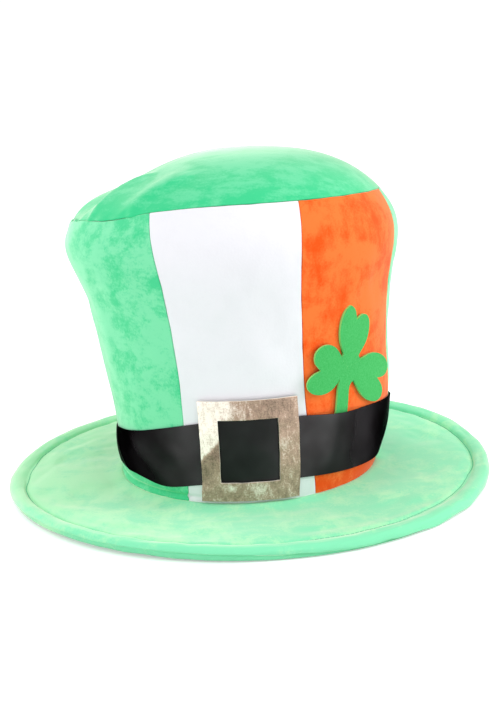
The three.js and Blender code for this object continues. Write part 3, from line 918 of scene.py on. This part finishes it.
def paint_reflection(across, up, half_width, bar):
    """The painted reflection at places on the buckle, from 0, dark, to 1, a bright highlight."""
    left = np.clip((-across - half_width + (1 + LEFT_FADE) * bar) / (LEFT_FADE * bar), 0, 1)
    top = np.clip((up - half_width + bar) / TOP_EDGE, 0, 1)
    top_left = top * np.clip((-across - TOP_START) / TOP_FADE, 0, 1)
    above = up - CREASE_FOOT - CREASE_SLOPE * (across + half_width)
    painted_highlight = np.maximum(left * np.clip(above / CREASE_EDGE, 0, 1), top_left)
    # Painted dark reflection under the crease line on the left bar.
    dull = left * np.clip(-above / CREASE_EDGE, 0, 1) * np.clip(1 + above / DARK_REFLECTION_REACH, 0, 1)
    film = REFLECTION_PLAIN + PAINTED_HIGHLIGHT * painted_highlight - PAINTED_DARK_REFLECTION * dull
    for x, z, radius, rise in PAINTED_GLINTS:
        gap = np.hypot(across - x * MM, up - z * MM)
        film += rise * np.exp(-((gap / (radius * MM)) ** 2))
    return film


# %% Buckle
BUCKLE_BAR = 13.6 * MM
BUCKLE_EDGE_ROUND = 0.15 * MM
CUT_FACING, CUT_BLEND = 0.8, 0.4
CRINKLES = [
    # size (mm), height (mm)
    (13, 0.35),
    (6, 0.18),
]


def crinkle(place):
    """The film's small hills and hollows."""
    return sum(noise.noise(place / (size * MM)) * height * MM for size, height in CRINKLES)


def mark_cut_edge(piece):
    """Marks the side walls of a laid piece, which show the cloth's cut edge."""
    facing = np.abs((vertex_rows(piece, "normal") * outwards(vertex_rows(piece))).sum(1))
    mark(piece, "cut_edge", np.clip((CUT_FACING - facing) / CUT_BLEND, 0, 1))


buckle = copy_of("buckle", "foil_buckle")
round_borders(buckle, BUCKLE_EDGE_ROUND)
subdivide(buckle, 2)
sculpt(buckle, crinkle)
mark_cut_edge(buckle)
places = vertex_rows(buckle)
low, high = places.min(0), places.max(0)
middle, half = (low + high) / 2, (high - low) / 2
# Painted reflection, written for the finish to read.
mark(buckle, "painted_reflection", paint_reflection(places[:, 0] - middle[0], places[:, 2] - middle[2], half[0], BUCKLE_BAR))
finish_piece(buckle, "buckle", foil, "gold_foil_cloth")

# %% [markdown]
# ## Shamrock
#
# The shamrock is cut from one piece of felt: three heart-shaped leaves and a stalk that is tucked under
# the band. Its cut edge is softened by a small bevel and marked, so that the finish paints a paler
# highlight there, for the light that its cut fibres catch.

# %% Shamrock
FELT_EDGE_ROUND = 0.4 * MM

shamrock = copy_of("shamrock", "felt_shamrock")
round_borders(shamrock, FELT_EDGE_ROUND)
subdivide(shamrock, 1)
# Marks the cut edge, where the felt finish paints a highlight.
mark_cut_edge(shamrock)
finish_piece(shamrock, "shamrock", felt, "green_felt")

# %% [markdown]
# ## Studio
#
# The photograph is lit almost evenly, from all round and a little more from above and from the right. A
# white backdrop, which is brighter to the camera than to the hat, gives the even part, and a broad sun
# gives the soft shadow beside the shamrock. Three softboxes shape the crown a little. Three more strips
# of light are hidden from the matt cloth and only give the satin and the foil something to mirror. The
# floor is pale paper, and it glows a little to the camera alone, so that the shadows on it stay faint.

# %% Floor
FLOOR_RADIUS = 12
FLOOR_DROP = 0.3 * MM

bpy.ops.mesh.primitive_circle_add(vertices=96, radius=FLOOR_RADIUS, fill_type="NGON",
                                  location=(0, 0, -FLOOR_DROP))
floor = bpy.context.object
floor.name = "pale_floor"
paper, place = new_finish("pale paper")
to_lens = add_node(paper, "LightPath").outputs["Is Camera Ray"]
show(paper, add_node(paper, "BsdfPrincipled", Base_Color=linear("#f8f8f8"), Roughness=0.9,
                     Specular_IOR_Level=0.1, Emission_Color=linear("#a0a0a0"), Emission_Strength=to_lens))
floor.data.materials.append(paper)

# %% Lights
SUN_FROM = Vector((0.25, -0.28, 0.93))
SUN_DISTANCE, SUN_STRENGTH, SUN_SPREAD = 3, 1.2, radians(50)
SOFTBOXES = [
    # name, place, size across, watts, whether it lights the matt cloth too
    ("right_softbox", (1.6, -0.2, 0.6), 0.5, 9, True),
    ("left_softbox", (-1.5, -0.9, 0.5), 0.8, 5, True),
    ("back_softbox", (-1.3, 0.95, 0.35), 1.0, 13, True),
    ("right_strip", (1.0, -1.1, 0.15), 0.8, 30, False),
    ("left_strip", (-1.3, -1.2, 0.15), 0.5, 11, False),
    ("side_strip", (1.6, 0.5, 0.3), 0.8, 10, False),
]


def point_at(light, direction):
    """Turns a light so that it shines along a direction."""
    light.rotation_mode = "QUATERNION"
    light.rotation_quaternion = direction.to_track_quat("-Z", "Y")


bpy.ops.object.light_add(type="SUN", location=SUN_FROM * SUN_DISTANCE)
sun = bpy.context.object
sun.name = "broad_sun"
sun.data.energy = SUN_STRENGTH
sun.data.angle = SUN_SPREAD
point_at(sun, -SUN_FROM)

for name, spot, size, watts, lights_cloth in SOFTBOXES:
    bpy.ops.object.light_add(type="AREA", location=spot)
    softbox = bpy.context.object
    softbox.name = name
    softbox.data.size = size
    softbox.data.energy = watts
    softbox.visible_diffuse = lights_cloth
    point_at(softbox, VIEW_TARGET - Vector(spot))
print("lights:", 1 + len(SOFTBOXES))

# %% Backdrop
BACKDROP_SEEN = 1.05
BACKDROP_LIGHT = 0.735
WHITE = (1, 1, 1, 1)

world = bpy.data.worlds.new("white_backdrop")
world.use_nodes = True
world.node_tree.nodes.clear()
seen = add_node(world, "Background", Strength=BACKDROP_SEEN, Color=WHITE)
light = add_node(world, "Background", Strength=BACKDROP_LIGHT, Color=WHITE)
to_lens = add_node(world, "LightPath").outputs["Is Camera Ray"]
backdrop = add_node(world, "MixShader", Fac=to_lens, _1=light.outputs[0], _2=seen.outputs[0])
add_node(world, "OutputWorld", Surface=backdrop.outputs[0])
bpy.context.scene.world = world
bpy.context.scene.view_settings.view_transform = "Standard"
print("backdrop:", world.name)
